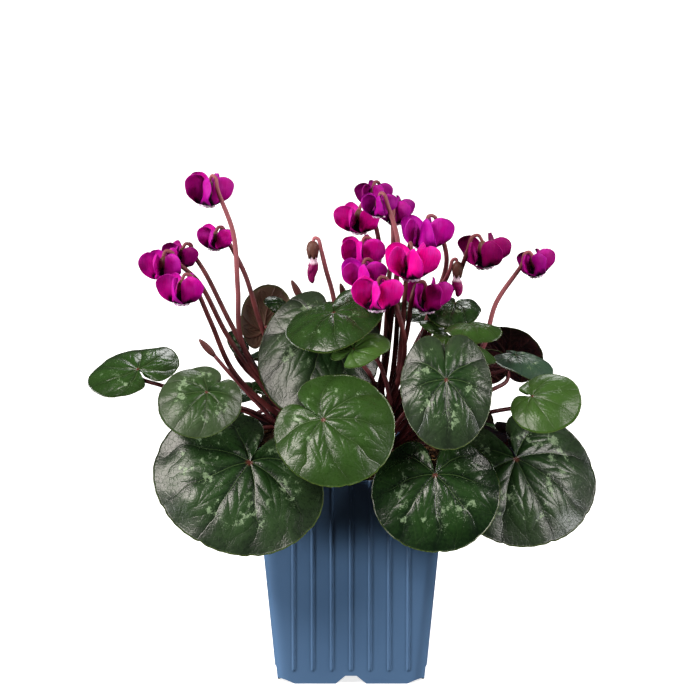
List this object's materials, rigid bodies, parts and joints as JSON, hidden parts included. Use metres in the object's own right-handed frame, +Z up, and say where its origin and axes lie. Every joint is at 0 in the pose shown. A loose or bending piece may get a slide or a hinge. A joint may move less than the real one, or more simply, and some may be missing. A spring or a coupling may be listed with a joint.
{
  "type": "potted cyclamen",
  "caption": "Cyclamen in a square ribbed nursery pot: round silver-marked leaves on arching stalks, reflexed magenta flowers and hanging buds.",
  "frame": {"origin": "centre of the underside of the pot, on its round centre foot", "axes": "+Z up, +X to the right of the pictured side, -Y towards the camera"},
  "size_m": [0.2395, 0.1598, 0.2406],
  "materials": {
    "pot": "slate blue satin moulded plastic",
    "soil": "dark brown peat and coir, rough",
    "stalk": "dark red-brown, slightly glossy, fleshy",
    "leaf": "dark green with silver-green marks, waxy gloss, maroon underneath",
    "petal": "magenta, soft satin",
    "bud": "magenta, soft satin"
  },
  "bodies": {
    "root": {"pot": "pot", "soil": "soil", "stalks": "stalk", "leaf_01": "leaf", "leaf_02": "leaf", "leaf_03": "leaf", "leaf_04": "leaf", "leaf_05": "leaf", "leaf_06": "leaf", "leaf_07": "leaf", "leaf_08": "leaf", "leaf_09": "leaf", "leaf_10": "leaf", "leaf_11": "leaf", "leaf_12": "leaf", "leaf_13": "leaf", "leaf_14": "leaf", "leaf_15": "leaf", "leaf_16": "leaf", "leaf_17": "leaf", "leaf_18": "leaf", "leaf_19": "leaf", "leaf_20": "leaf", "leaf_21": "leaf", "leaf_22": "leaf", "leaf_23": "leaf", "leaf_24": "leaf", "leaf_25": "leaf", "leaf_26": "leaf", "leaf_27": "leaf", "leaf_28": "leaf", "leaf_29": "leaf", "leaf_30": "leaf", "leaf_31": "leaf", "flower_01": "petal", "flower_02": "petal", "flower_03": "petal", "flower_04": "petal", "flower_05": "petal", "flower_06": "petal", "flower_07": "petal", "flower_08": "petal", "flower_09": "petal", "flower_10": "petal", "flower_11": "petal", "flower_12": "petal", "flower_13": "petal", "flower_14": "petal", "flower_15": "petal", "flower_16": "petal", "flower_17": "petal", "bud_01": "bud", "bud_02": "bud"}
  },
  "joints": []
}
